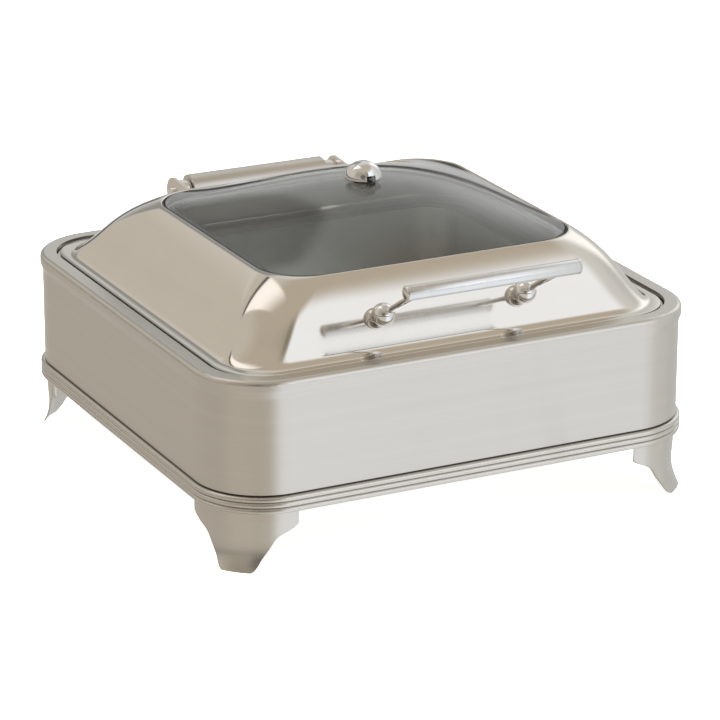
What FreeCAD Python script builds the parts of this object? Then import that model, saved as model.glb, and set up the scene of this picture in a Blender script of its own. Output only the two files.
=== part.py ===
import FreeCAD, Part
import math
import os

# Square hinged-lid buffet chafer with a glass window: millimetres, +Z up, +Y to the hinge.
# It is modelled about the middle of its body and moved back on export, so that the origin is
# under the middle of the whole object, handle included, on the surface that it stands on.

V = FreeCAD.Vector
UP = V(0, 0, 1)
OUT = "parts"

# ---- driving dimensions ----------------------------------------------------------------
BODY_X = 215.0              # half width of the body wall
BODY_Y = 208.0              # half depth of the body wall
BODY_R = 57.0               # corner radius of the body wall
SHEET = 1.2                 # body sheet thickness
BODY_BOTTOM = 49.0          # lower edge of the wall, also the underside of the band
RIM_TOP = 158.5             # flat top of the rim
RIM_HEIGHT = 15.5           # height of the rim's outer face, with the blend under it
RIM_BULGE = 2.0             # how far the rim stands out from the wall
RIM_BLEND = 8.0             # height over which the wall swells out into the rim
RIM_ROUND = 4.0             # radius of the rim's outer top edge
RIM_LIP = 12.0              # how far the rim turns inwards over the wall
LEDGE = 22.0                # inner reach of the ledge that carries the frame
LEDGE_DROP = 8.0            # from the rim's top down to the ledge

BAND_HEIGHT = 14.0
BAND_BACK = 1.2             # flat back of the band, before its ribs
BAND_RIBS = 3

FOOT_TOP = 65.0
FOOT_SHEET = 1.5
FOOT_LOBE = 6.0             # straight run of the foot past the corner arc
FOOT_FLARE = 5.6            # how far the toe turns out
FOOT_TOE = 16.5             # half width of the toe

FRAME_TOP = 155.2
FRAME_GAP = 0.5             # crevice between rim and frame
OPENING_X = 172.0
OPENING_Y = 157.0
OPENING_R = 40.0

WATER_X = 170.5
WATER_Y = 155.5
WATER_BOTTOM = 80.0
FOOD_X = 162.5              # the food pan is the two-thirds gastronorm size, 354 x 325 over its rim
FOOD_Y = 148.0
FOOD_DEPTH = 65.0
PAN_SHEET = 1.0

CUP_R = 46.0                # fuel holder
CUP_BOTTOM = 14.0
CARRIER_TOP = 53.2          # top of the ring that the fuel holder hangs in
CARRIER_R = 70.0            # outer radius of that ring
CARRIER_ARM = 12.0          # half width of the straps that hold the ring
STRAP = 1.5
CARRIER_SCREW_IN = 9.0      # from the wall's inner face to the screws at the straps' ends
CARRIER_RIVET_IN = 6.0      # from the ring's edge to its rivets
SNUFFER_ARM = 51.0          # from the cup's middle to the snuffer's pivot

LID_BASE = 161.0            # where the dome starts
LID_FLANGE_BOTTOM = 156.3
LID_FLANGE_TOP = 157.5
LID_X = 188.0
LID_FRONT = 182.0
LID_REAR = 180.0
LID_R = 40.0
LID_SKIRT = 6.8             # level run of the shallow slope from the dome's foot to the flange
LID_FLANGE_X = 201.8        # outer edge of the flange, just inside the rim
LID_FLANGE_Y = 194.8
LID_FLANGE_R = 43.8
WINDOW_Z = 215.0
WINDOW_X = 140.0
WINDOW_FRONT = 144.0
WINDOW_REAR = 114.0
WINDOW_R = 41.0
LID_WALL = 1.8              # measured level, so 1.0 to 1.4 square to the slope
GLASS = 4.0
GLASS_RISE = 33.0

HINGE_Y = 194.0
HINGE_Z = 186.0
HUB_R = 14.0
HINGE_FOOT_TOP = 161.8
HINGE_FOOT_FRONT = 188.2    # front edge of the fixed bracket, on the frame
HINGE_BACK = 207.4          # outer face of the bracket's upstand
HINGE_HALF = 53.0           # half width of the bracket
HINGE_SHEET = 3.0           # thickness of its ears
HINGE_EAR_R = 11.5
HINGE_GAP = 88.0            # half width of the gap in the lid's flange behind the hinge
BARREL_R = 11.0
COVER_R = 15.0
COVER_X = 64.0
COVER_SCREW_X = 35.0
COVER_SCREW_Z = 174.0
COVER_SCREW_R = 1.9
ARM_X = 76.0                # inner face of each lid arm
ARM_SHEET = 3.0
PAD = 4.2                   # how far an arm's pad stands off the lid
PAD_WIDTH = 22.0
PAD_LOW = 171.0             # heights of the pad's foot and head on the rear slope
PAD_HIGH = 197.0
PIN_R = 3.0
PIN_PLAY = 0.05
SCREW_HOLE = 1.95           # radius of the clear holes for the small screws

HANDLE_X = 63.5
HANDLE_Z = 182.8            # where the posts leave the lid
HANDLE_REACH = 81.5         # along the post, from the lid to the middle of the bar
HANDLE_TILT = math.radians(31.4)
BAR_R = 6.0
BAR_HALF = 75.0
CAP_LENGTH = 3.0
POST_R = 2.6
BALL_R = 9.5

VENT_R = 15.5
VENT_HEIGHT = 14.0

# ---- derived places --------------------------------------------------------------------
BAND_TOP = BODY_BOTTOM + BAND_HEIGHT
FOOT_RADIUS = BODY_R - SHEET - 0.05     # outer face of a foot, just inside the wall
WINDOW_MID_Y = (WINDOW_REAR - WINDOW_FRONT) / 2
GLASS_X = WINDOW_X - LID_WALL - 0.6
GLASS_Y = (WINDOW_FRONT + WINDOW_REAR) / 2 - LID_WALL - 0.6
GLASS_R = WINDOW_R - LID_WALL - 0.6
GLASS_TOP = WINDOW_Z + GLASS_RISE * (1 - 0.12 ** 2)
POST_DIR = V(0, -math.cos(HANDLE_TILT), math.sin(HANDLE_TILT))


# ---- drawing helpers -------------------------------------------------------------------
def outline(half_x, front, rear, radius, z):
    """A closed rounded rectangle at height z, from -front to +rear in Y."""
    quarter = math.sqrt(0.5) * radius
    edges = []
    corners = ((half_x, rear, 0), (-half_x, rear, 90), (-half_x, -front, 180), (half_x, -front, 270))
    ends = []
    for x, y, start in corners:
        centre = V(x - math.copysign(radius, x), y - math.copysign(radius, y), z)
        first = math.radians(start)
        last = first + math.pi / 2
        arc_start = centre + V(math.cos(first), math.sin(first), 0) * radius
        arc_end = centre + V(math.cos(last), math.sin(last), 0) * radius
        middle = centre + V(math.copysign(quarter, x), math.copysign(quarter, y), 0)
        ends.append((arc_start, middle, arc_end))
    for index, (arc_start, middle, arc_end) in enumerate(ends):
        following = ends[(index + 1) % 4][0]
        edges.append(Part.Arc(arc_start, middle, arc_end).toShape())
        edges.append(Part.LineSegment(arc_end, following).toShape())
    return Part.Wire(edges)


def slab(half_x, front, rear, radius, bottom, top):
    """A rounded-rectangle block between two heights."""
    face = Part.Face(outline(half_x, front, rear, radius, bottom))
    return face.extrude(V(0, 0, top - bottom))


def level_slab(offset, bottom, top):
    """A block that follows the body wall, offset outwards from it."""
    return slab(BODY_X + offset, BODY_Y + offset, BODY_Y + offset, BODY_R + offset, bottom, top)


def section(*edges):
    """A face in the XZ plane, where X is the offset outwards from a path."""
    return Part.Face(Part.Wire(Part.__sortEdges__(list(edges))))


def run(*points):
    """Straight edges through (offset, height) points."""
    corners = [V(offset, 0, height) for offset, height in points]
    return [Part.LineSegment(a, b).toShape() for a, b in zip(corners, corners[1:])]


def bend(start, middle, end):
    """A round edge through three (offset, height) points."""
    return [Part.Arc(*[V(offset, 0, height) for offset, height in (start, middle, end)]).toShape()]


def around(half_x, half_y, radius, face):
    """Carries a section once round a rounded rectangle: four corners and four straight runs."""
    pieces = []
    for index, (sx, sy) in enumerate(((1, 1), (-1, 1), (-1, -1), (1, -1))):
        start = 90 * index
        centre = V(sx * (half_x - radius), sy * (half_y - radius), 0)
        ends = []
        for turn in (start, start + 90):
            end = face.copy()
            end.translate(V(radius, 0, 0))
            end.rotate(V(0, 0, 0), UP, turn)
            end.translate(centre)
            ends.append(end)
        pieces.append(ends[0].revolve(centre, UP, 90))
        heading = math.radians(start + 180)
        straight = 2 * ((half_x if index % 2 == 0 else half_y) - radius)
        pieces.append(ends[1].extrude(V(math.cos(heading), math.sin(heading), 0) * straight))
    return pieces[0].fuse(pieces[1:]).removeSplitter()


def cylinder(radius, start, end):
    """A round bar between two points."""
    axis = end - start
    return Part.makeCylinder(radius, axis.Length, start, axis)


def box(x0, x1, y0, y1, z0, z1):
    return Part.makeBox(x1 - x0, y1 - y0, z1 - z0, V(x0, y0, z0))


def side_plate(points, x0, x1):
    """A plate cut to a (Y, Z) outline, between two X places."""
    corners = [V(x0, y, z) for y, z in points]
    face = Part.Face(Part.makePolygon(corners + corners[:1]))
    return face.extrude(V(x1 - x0, 0, 0))


def turned(points, centre):
    """A solid turned about a vertical axis from (radius, height) points."""
    corners = [V(radius, 0, height) for radius, height in points]
    face = Part.Face(Part.makePolygon(corners + corners[:1]))
    solid = face.revolve(V(0, 0, 0), UP, 360)
    solid.translate(centre)
    return solid


def hexagon(across_flats, start, direction, height):
    """A hexagonal nut blank along a direction."""
    reach = across_flats / math.sqrt(3)
    corners = [V(reach * math.cos(math.radians(60 * i)), reach * math.sin(math.radians(60 * i)), 0)
               for i in range(7)]
    solid = Part.Face(Part.makePolygon(corners)).extrude(V(0, 0, height))
    solid.Placement = FreeCAD.Placement(start, FreeCAD.Rotation(UP, direction))
    return solid


def screw(at, direction, length, radius=1.9):
    """A pan-head screw: the head stands on the surface at a point and the shank goes in."""
    inward = direction * -1
    head = cylinder(radius * 2, at, at + direction * (radius * 1.1))
    head = head.makeFillet(radius * 0.6, [e for e in head.Edges if abs(e.Length - 4 * math.pi * radius) < 0.1
                                          and (e.CenterOfMass - at).dot(direction) > 0.1])
    slot = Part.makeBox(radius * 5, 0.8, 1.0, V(-radius * 2.5, -0.4, radius * 1.1 - 0.9))
    slot.Placement = FreeCAD.Placement(at, FreeCAD.Rotation(UP, direction)).multiply(slot.Placement)
    return head.cut(slot).fuse(cylinder(radius, at, at + inward * length))


# ---- body ------------------------------------------------------------------------------
def rim_path(inset):
    """The rim's outline from the wall to the lip, drawn inwards by an inset: one side of the sheet."""
    low = RIM_TOP - RIM_HEIGHT
    top = RIM_TOP - inset
    out = RIM_BULGE - inset
    turn = RIM_ROUND - inset
    nose = turn * math.sqrt(0.5)
    middle = (out - turn + nose, top - turn + nose)
    swell = Part.BSplineCurve()
    swell.interpolate(Points=[V(-inset, 0, low), V(out, 0, low + RIM_BLEND)], InitialTangent=UP, FinalTangent=UP)
    path = run((-inset, BODY_BOTTOM), (-inset, low)) + [swell.toShape()]
    path += run((out, low + RIM_BLEND), (out, top - turn))
    path += bend((out, top - turn), middle, (out - turn, top))
    return path + run((out - turn, top), (inset - RIM_LIP, top))


def body_shell():
    """The wrapped wall, its turned rim and the ledge inside the rim, one bent sheet."""
    ledge = RIM_TOP - LEDGE_DROP
    edges = rim_path(0) + rim_path(SHEET) + run((0, BODY_BOTTOM), (-SHEET, BODY_BOTTOM))
    edges += run((-RIM_LIP, RIM_TOP), (-RIM_LIP, ledge), (-LEDGE, ledge), (-LEDGE, ledge - SHEET),
                 (SHEET - RIM_LIP, ledge - SHEET), (SHEET - RIM_LIP, RIM_TOP - SHEET))
    return around(BODY_X, BODY_Y, BODY_R, section(*edges))


def base_band():
    """The ribbed band round the foot of the wall: three half-round ribs on a flat back."""
    rib = BAND_HEIGHT / BAND_RIBS / 2
    edges = run((0, BAND_TOP), (0, BODY_BOTTOM), (BAND_BACK, BODY_BOTTOM))
    for index in range(BAND_RIBS):
        low = BODY_BOTTOM + 2 * rib * index
        edges += bend((BAND_BACK, low), (BAND_BACK + rib, low + rib), (BAND_BACK, low + 2 * rib))
    edges += run((BAND_BACK, BAND_TOP), (0, BAND_TOP))
    return around(BODY_X, BODY_Y, BODY_R, section(*edges))


def foot(sx, sy):
    """A corner foot: sheet that follows the corner inside the wall, then narrows to a flared toe."""
    radius = FOOT_RADIUS
    straight = BODY_BOTTOM - 6
    edges = run((radius, FOOT_TOP), (radius - FOOT_SHEET, FOOT_TOP))
    edges += run((radius + FOOT_FLARE, 0), (radius + FOOT_FLARE - FOOT_SHEET, 0))
    for side in (radius, radius - FOOT_SHEET):
        curve = Part.BSplineCurve()
        curve.interpolate(Points=[V(side, 0, straight), V(side - 1.0, 0, 24), V(side + 0.5, 0, 11.5),
                                  V(side + FOOT_FLARE, 0, 0)],
                          InitialTangent=V(0, 0, -1), FinalTangent=V(0.55, 0, -0.83))
        edges += run((side, FOOT_TOP), (side, straight)) + [curve.toShape()]
    face = section(*edges)
    centre = V(BODY_X - BODY_R, BODY_Y - BODY_R, 0)
    start = face.copy()
    start.translate(centre)
    end = face.copy()
    end.rotate(V(0, 0, 0), UP, 90)
    end.translate(centre)
    sheet = start.revolve(centre, UP, 90)
    sheet = sheet.fuse([start.extrude(V(0, -FOOT_LOBE, 0)), end.extrude(V(-FOOT_LOBE, 0, 0))])
    # The outline, seen square to the corner's diagonal: full width at the top, an S, then the toe.
    half_top = radius * math.sqrt(0.5) + FOOT_LOBE * math.sqrt(0.5) + 1
    toe = FOOT_TOE
    lobe_bottom = BODY_BOTTOM - 13
    points = [V(half_top, 0, FOOT_TOP + 1), V(half_top, 0, lobe_bottom + 4)]
    side = Part.BSplineCurve()
    side.interpolate([V(half_top, 0, lobe_bottom + 4), V(half_top - 5, 0, lobe_bottom - 2.5),
                      V(half_top - 15, 0, lobe_bottom - 9), V(toe + 7.5, 0, 18),
                      V(toe + 1.5, 0, 8), V(toe - 1.5, 0, 2.2), V(toe - 6, 0, -0.5)])
    right = [Part.LineSegment(*points).toShape(), side.toShape()]
    left = [edge.mirror(V(0, 0, 0), V(1, 0, 0)) for edge in right]
    ends = [Part.LineSegment(V(half_top, 0, FOOT_TOP + 1), V(-half_top, 0, FOOT_TOP + 1)).toShape(),
            Part.LineSegment(V(toe - 6, 0, -0.5), V(6 - toe, 0, -0.5)).toShape()]
    mask = section(*right, *left, *ends).extrude(V(0, 200, 0))
    mask.rotate(V(0, 0, 0), UP, -45)
    mask.translate(centre)
    shape = sheet.common(mask)
    turn = {(1, 1): 0, (-1, 1): 90, (-1, -1): 180, (1, -1): 270}[(sx, sy)]
    if turn % 180 == 0:
        shape.rotate(V(0, 0, 0), UP, turn)
        return shape
    shape = shape.mirror(V(0, 0, 0), V(1, 0, 0))
    if sy < 0:
        shape.rotate(V(0, 0, 0), UP, 180)
    return shape


def foot_rivets():
    """The heads of two rivets a foot, on its inner face; outside they are ground flush."""
    rivets = []
    radius = 3.0
    inner_face = FOOT_RADIUS - FOOT_SHEET
    seat = math.sqrt(inner_face ** 2 - radius ** 2) - 0.02
    for sx in (-1, 1):
        for sy in (-1, 1):
            centre = V(sx * (BODY_X - BODY_R), sy * (BODY_Y - BODY_R), FOOT_TOP - 4.5)
            for angle in (22, 68):
                way = V(sx * math.cos(math.radians(angle)), sy * math.sin(math.radians(angle)), 0)
                rivets.append(cylinder(radius, centre + way * (seat - 1.4), centre + way * seat))
    return Part.makeCompound(rivets)


def quarter_turns():
    """The four sides of the body, right first: the turn about Z and the wall's distance."""
    return ((0, BODY_X), (90, BODY_Y), (180, BODY_X), (270, BODY_Y))


def carrier_ring():
    """The flat ring under the burner space that the fuel holder hangs in."""
    low = CARRIER_TOP - SHEET
    ring = Part.makeCylinder(CARRIER_R, SHEET, V(0, 0, low))
    ring = ring.cut(Part.makeCylinder(CUP_R + 0.8, 10, V(0, 0, low - 5)))
    for turn, _ in quarter_turns():
        angle = math.radians(turn)
        at = V(math.cos(angle), math.sin(angle), 0) * (CARRIER_R - CARRIER_RIVET_IN) + V(0, 0, low - 5)
        ring = ring.cut(Part.makeCylinder(2.05, 10, at))
    return ring


def carrier_arm(turn, reach):
    """A strap from under the ring out to the bracket on one wall."""
    low = CARRIER_TOP - SHEET - STRAP
    strap = box(CARRIER_R - 14, reach - SHEET - 1, -CARRIER_ARM, CARRIER_ARM, low, low + STRAP)
    strap = strap.makeFillet(5, [e for e in strap.Edges if abs(e.Length - STRAP) < 0.01])
    strap = strap.cut(Part.makeCylinder(2.05, 10, V(CARRIER_R - CARRIER_RIVET_IN, 0, low - 5)))
    strap = strap.cut(Part.makeCylinder(SCREW_HOLE, 10, V(reach - SHEET - CARRIER_SCREW_IN, 0, low - 5)))
    strap.rotate(V(0, 0, 0), UP, turn)
    return strap


def carrier_rivets():
    """One rivet where each strap crosses the ring, headed on both sides."""
    rivets = []
    low = -SHEET - STRAP
    for turn, _ in quarter_turns():
        angle = math.radians(turn)
        at = V(math.cos(angle), math.sin(angle), 0) * (CARRIER_R - CARRIER_RIVET_IN) + V(0, 0, CARRIER_TOP)
        rivets.append(turned(((0, low - 1.2), (2.5, low - 1.2), (3.6, low), (2, low), (2, 0), (3.6, 0),
                              (2.5, 1.2), (0, 1.2)), at))
    return Part.makeCompound(rivets)


def carrier_brackets():
    """Four angle brackets on the wall, over the ends of the straps."""
    brackets = []
    low = CARRIER_TOP - SHEET
    for turn, reach in quarter_turns():
        face = reach - SHEET
        bracket = box(face - 1.5, face, -15, 15, low, low + 14)
        bracket = bracket.fuse(box(face - 16, face, -15, 15, low, low + 1.5)).removeSplitter()
        bracket = bracket.cut(Part.makeCylinder(SCREW_HOLE, 10, V(face - CARRIER_SCREW_IN, 0, low - 5)))
        bracket.rotate(V(0, 0, 0), UP, turn)
        brackets.append(bracket)
    return Part.makeCompound(brackets)


def carrier_screws():
    """One screw a bracket, up through the strap."""
    screws = []
    for turn, reach in quarter_turns():
        angle = math.radians(turn)
        at = V(math.cos(angle), math.sin(angle), 0) * (reach - SHEET - CARRIER_SCREW_IN)
        screws.append(screw(at + V(0, 0, CARRIER_TOP - SHEET - STRAP), V(0, 0, -1), 5))
    return Part.makeCompound(screws)


# ---- frame and pans --------------------------------------------------------------------
def top_frame():
    """The flat frame inside the rim, with a turned-down edge on the ledge and the pan opening."""
    outer = -RIM_LIP - FRAME_GAP
    skirt_bottom = RIM_TOP - LEDGE_DROP
    plate = level_slab(outer, skirt_bottom, FRAME_TOP)
    plate = plate.makeFillet(1.4, [e for e in plate.Edges if e.BoundBox.ZMin > FRAME_TOP - 0.1])
    plate = plate.cut(level_slab(outer - SHEET, skirt_bottom - 1, FRAME_TOP - SHEET))
    plate = plate.cut(slab(OPENING_X, OPENING_Y, OPENING_Y, OPENING_R, FRAME_TOP - 5, FRAME_TOP + 1))
    for x, y in hinge_screw_places():
        plate = plate.cut(Part.makeCylinder(SCREW_HOLE, 10, V(x, y, FRAME_TOP - 5)))
    return plate


def pan(half_x, half_y, radius, bottom, top, rim, round_bottom, draft):
    """A pressed pan: drawn walls, a rounded bottom edge and a flat rim."""
    def drawn(inset, low):
        lower = outline(half_x - inset - draft, half_y - inset - draft, half_y - inset - draft,
                        radius - inset - draft, low)
        upper = outline(half_x - inset, half_y - inset, half_y - inset, radius - inset, top)
        solid = Part.makeLoft([lower, upper], True, True)
        edges = [e for e in solid.Edges if e.BoundBox.ZMax < low + 0.1]
        return solid.makeFillet(round_bottom - inset, edges)
    outside = drawn(0, bottom)
    rim_plate = slab(half_x + rim, half_y + rim, half_y + rim, radius + rim, top, top + PAN_SHEET)
    shell = outside.fuse(rim_plate)
    inside = drawn(PAN_SHEET, bottom + PAN_SHEET)
    mouth = slab(half_x - PAN_SHEET, half_y - PAN_SHEET, half_y - PAN_SHEET, radius - PAN_SHEET,
                 top, top + 2 * PAN_SHEET)
    return shell.cut(inside).cut(mouth)


def water_pan():
    return pan(WATER_X, WATER_Y, 38, WATER_BOTTOM, FRAME_TOP, 8.5, 12, 1.5)


def food_pan():
    top = FRAME_TOP + PAN_SHEET + 0.1
    return pan(FOOD_X, FOOD_Y, 34, top - FOOD_DEPTH, top, 14.5, 14, 6)


# ---- heater ----------------------------------------------------------------------------
def fuel_holder():
    """The cup for a can of gel fuel: it drops into the ring and hangs from its flange."""
    outside = Part.makeCylinder(CUP_R, CARRIER_TOP - CUP_BOTTOM + 1, V(0, 0, CUP_BOTTOM))
    outside = outside.makeFillet(4, [e for e in outside.Edges if e.BoundBox.ZMax < CUP_BOTTOM + 0.1])
    flange = Part.makeCylinder(CUP_R + 12, 1, V(0, 0, CARRIER_TOP))
    inside = Part.makeCylinder(CUP_R - 1, CARRIER_TOP - CUP_BOTTOM + 5, V(0, 0, CUP_BOTTOM + 1))
    inside = inside.makeFillet(3, [e for e in inside.Edges if e.BoundBox.ZMax < CUP_BOTTOM + 1.1])
    holder = outside.fuse(flange).cut(inside)
    return holder.cut(Part.makeCylinder(2.5, 10, V(SNUFFER_ARM, 0, CARRIER_TOP - 5)))


def snuffer():
    """The swinging cover that closes or opens the flame: a disc with an ear on the pivot."""
    low = CARRIER_TOP + 2.4
    disc = Part.makeCylinder(CUP_R + 1, 1.2, V(0, 0, low))
    ear = Part.makeCylinder(8, 1.2, V(SNUFFER_ARM, 0, low)).fuse(box(30, SNUFFER_ARM, -8, 8, low, low + 1.2))
    plate = disc.fuse(ear).removeSplitter()
    return plate.cut(Part.makeCylinder(2.5 + PIN_PLAY, 10, V(SNUFFER_ARM, 0, low - 5)))


def snuffer_knob():
    """A turned knob riveted to the middle of the snuffer."""
    low = CARRIER_TOP + 3.6
    return turned(((0, 0), (3.5, 0), (3.5, 3), (7, 6), (7.5, 9), (6, 11.5), (3, 12.5), (0, 12.5)), V(0, 0, low))


def snuffer_pivot():
    """The shouldered rivet that the snuffer swings on, set in the holder's flange."""
    low = CARRIER_TOP
    points = ((0, 0), (2.5, 0), (2.5, 1), (4.5, 1), (4.5, 2.3), (2.5, 2.3),
              (2.5, 3.7), (4.5, 3.7), (4.5, 4.8), (3, 5.6), (0, 5.6))
    return turned(points, V(SNUFFER_ARM, 0, low))


# ---- lid -------------------------------------------------------------------------------
def rise(h):
    """How much of the way in to the window the lid has come, at height fraction h."""
    start_slope = 0.95
    end_slope = 1.8
    return (h ** 3 - 2 * h ** 2 + h) * start_slope + (3 * h ** 2 - 2 * h ** 3) + (h ** 3 - h ** 2) * end_slope


def lid_outline(h, inset=0.0, lower=0.0):
    """The lid's level outline at a height fraction, drawn in by an inset and lowered."""
    share = rise(h)
    half_x = LID_X + (WINDOW_X - LID_X) * share - inset
    front = LID_FRONT + (WINDOW_FRONT - LID_FRONT) * share - inset
    rear = LID_REAR + (WINDOW_REAR - LID_REAR) * share - inset
    radius = LID_R + (WINDOW_R - LID_R) * share - inset
    return outline(half_x, front, rear, radius, LID_BASE + (WINDOW_Z - LID_BASE) * h - lower)


def lid_solid(inset=0.0, lower=0.0):
    return Part.makeLoft([lid_outline(step / 6, inset, lower) for step in range(7)], True, False)


def lid_rear_y(z):
    """Where the lid's rear slope is at height z, in its straight middle."""
    return LID_REAR + (WINDOW_REAR - LID_REAR) * rise((z - LID_BASE) / (WINDOW_Z - LID_BASE))


def lid_front_y(z):
    return -LID_FRONT + (LID_FRONT - WINDOW_FRONT) * rise((z - LID_BASE) / (WINDOW_Z - LID_BASE))


def skirt_outline(inset, z):
    """Where the dome's skirt meets the flange, drawn in by an inset."""
    return outline(LID_X + LID_SKIRT - inset, LID_FRONT + LID_SKIRT - inset, LID_REAR + LID_SKIRT - inset,
                   LID_R + 2 - inset, z)


def lid_shell():
    """The pressed lid: dome, skirt and flange, the window opening and a gap for the hinge."""
    shell = lid_solid().cut(lid_solid(LID_WALL))
    skirt = Part.makeLoft([skirt_outline(0, LID_FLANGE_TOP), lid_outline(0)], True, True)
    hollow = Part.makeLoft([skirt_outline(LID_WALL, LID_FLANGE_BOTTOM), lid_outline(0, LID_WALL)], True, True)
    flange = slab(LID_FLANGE_X, LID_FLANGE_Y, LID_FLANGE_Y, LID_FLANGE_R, LID_FLANGE_BOTTOM, LID_FLANGE_TOP)
    gap = box(-HINGE_GAP, HINGE_GAP, LID_REAR + LID_SKIRT + 0.4, LID_FLANGE_Y + 1,
              LID_FLANGE_BOTTOM - 1, LID_FLANGE_TOP + 1)
    shell = shell.fuse([skirt.cut(hollow), flange.cut(hollow).cut(gap)])
    for at, normal in arm_screw_places():
        shell = shell.cut(cylinder(SCREW_HOLE, at + normal, at - normal * 8))
    for sx in (-1, 1):
        root = handle_root(sx)
        shell = shell.cut(cylinder(POST_R + 0.05, root - POST_DIR * 9, root + POST_DIR * 6))
    return shell


def window_glass():
    """The bent pane: a shallow pillow with its edge level, bored for the vent."""
    def pillow(inset, lower):
        wires = []
        for share in (1, 0.86, 0.7, 0.52, 0.32, 0.12):
            half_x = (GLASS_X - inset) * share
            half_y = (GLASS_Y - inset) * share
            small = min(half_x, half_y)
            radius = GLASS_R * share + (0.98 * small - GLASS_R * share) * (1 - share) ** 1.5
            z = WINDOW_Z + GLASS_RISE * (1 - share ** 2) - lower
            wires.append(outline(half_x, half_y, half_y, radius, z))
        return Part.makeLoft(wires, True, False)
    edge = slab(GLASS_X, GLASS_Y, GLASS_Y, GLASS_R, WINDOW_Z - GLASS, WINDOW_Z)
    under = pillow(GLASS, GLASS)
    glass = edge.fuse(pillow(0, 0)).cut(under)
    glass = glass.cut(Part.makeCylinder(4, 60, V(0, 0, WINDOW_Z)))
    glass.translate(V(0, WINDOW_MID_Y, 0))
    return glass


def window_ring(outer, inner, bottom, top):
    """A flat frame under the window, from one outline in to another."""
    ring = slab(GLASS_X + outer, GLASS_Y + outer, GLASS_Y + outer, GLASS_R + outer, bottom, top)
    ring = ring.cut(slab(GLASS_X - inner, GLASS_Y - inner, GLASS_Y - inner, GLASS_R - inner,
                         bottom - 1, top + 1))
    ring.translate(V(0, WINDOW_MID_Y, 0))
    return ring


def window_seal():
    """The rubber seat under the pane's edge, with a thin lip between pane and lid."""
    seat = window_ring(0.5, 9, WINDOW_Z - GLASS - 1, WINDOW_Z - GLASS)
    return seat.fuse(window_ring(0.5, 0, WINDOW_Z - GLASS, WINDOW_Z - 0.6))


def window_retainer():
    """The steel frame that carries the seal, let into the lid from below."""
    retainer = window_ring(14, 9, WINDOW_Z - GLASS - 2.2, WINDOW_Z - GLASS - 1)
    return retainer.common(lid_solid(LID_WALL))


def retainer_clips():
    """Eight spring clips under the retainer, two a side, holding it to the lid."""
    clips = []
    top = WINDOW_Z - GLASS - 2.2
    for x, y in ((-70, -1), (70, -1), (-70, 1), (70, 1)):
        at_y = WINDOW_MID_Y + y * (GLASS_Y - 4)
        clips.append(box(x - 8, x + 8, at_y - 4, at_y + 4, top - 1.0, top))
    for x, y in ((-1, -60), (-1, 60), (1, -60), (1, 60)):
        at_x = x * (GLASS_X - 4)
        clips.append(box(at_x - 4, at_x + 4, WINDOW_MID_Y + y - 8, WINDOW_MID_Y + y + 8, top - 1.0, top))
    return Part.makeCompound(clips)


def lid_buffers():
    """Six rubber studs under the flange, which the closed lid rests on."""
    studs = []
    low = FRAME_TOP + 0.15
    radius = 2.8
    places = [(x, radius + 0.8 - LID_FLANGE_Y) for x in (-100, 100)]
    places += [(x * (LID_FLANGE_X - radius - 0.8), y) for x in (-1, 1) for y in (-90, 90)]
    for x, y in places:
        studs.append(Part.makeCylinder(radius, LID_FLANGE_BOTTOM - low, V(x, y, low)))
    return Part.makeCompound(studs)


# ---- vent ------------------------------------------------------------------------------
def vent_cap():
    """The domed steam vent: a hollow cap with an outlet at the front and a slotted top."""
    base = V(0, WINDOW_MID_Y, GLASS_TOP)
    dome = Part.makeSphere(VENT_R, V(0, 0, 0), UP, 0, 90, 360)
    stretch = FreeCAD.Matrix()
    stretch.scale(1, 1, VENT_HEIGHT / VENT_R)
    outside = dome.transformGeometry(stretch)
    hollow = Part.makeSphere(VENT_R - 1.2, V(0, 0, 0), UP, 0, 90, 360)
    shrink = FreeCAD.Matrix()
    shrink.scale(1, 1, (VENT_HEIGHT - 2.2) / (VENT_R - 1.2))
    inside = hollow.transformGeometry(shrink)
    cap = outside.cut(inside)
    cap = cap.cut(box(-4, 4, -VENT_R - 1, 0, -1, 4.4))
    cap = cap.cut(box(-3.5, 3.5, -0.6, 0.6, VENT_HEIGHT - 0.9, VENT_HEIGHT + 1))
    cap.translate(base)
    return cap


def vent_stem():
    """The bolt that the cap is fixed to, down through the pane, with a shoulder on the washer."""
    base = V(0, WINDOW_MID_Y, GLASS_TOP)
    stem = cylinder(3, base + V(0, 0, -12), base + V(0, 0, VENT_HEIGHT - 2.4))
    return stem.fuse(cylinder(6.5, base + V(0, 0, 1), base + V(0, 0, 3.5)))


def vent_washers():
    """Two rubber washers, above and below the pane."""
    base = V(0, WINDOW_MID_Y, GLASS_TOP)
    upper = cylinder(7.5, base, base + V(0, 0, 1))
    lower = cylinder(7.5, base - V(0, 0, GLASS + 1), base - V(0, 0, GLASS))
    bore = cylinder(3, base - V(0, 0, 20), base + V(0, 0, 20))
    return Part.makeCompound([upper.cut(bore), lower.cut(bore)])


def vent_nut():
    base = V(0, WINDOW_MID_Y, GLASS_TOP - GLASS - 1)
    nut = hexagon(10, base - V(0, 0, 5), UP, 5)
    return nut.cut(cylinder(3, base - V(0, 0, 9), base + V(0, 0, 1)))


# ---- handle ----------------------------------------------------------------------------
def handle_root(sx):
    return V(sx * HANDLE_X, lid_front_y(HANDLE_Z), HANDLE_Z)


def handle_bar():
    """The tube across the two posts, open inside and bored for them."""
    middle = handle_root(0) + POST_DIR * HANDLE_REACH
    left = middle - V(BAR_HALF, 0, 0)
    right = middle + V(BAR_HALF, 0, 0)
    tube = cylinder(BAR_R, left, right).cut(cylinder(BAR_R - 1.2, left, right))
    for sx in (-1, 1):
        root = handle_root(sx)
        tube = tube.cut(cylinder(POST_R, root, root + POST_DIR * HANDLE_REACH))
    return tube


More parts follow.
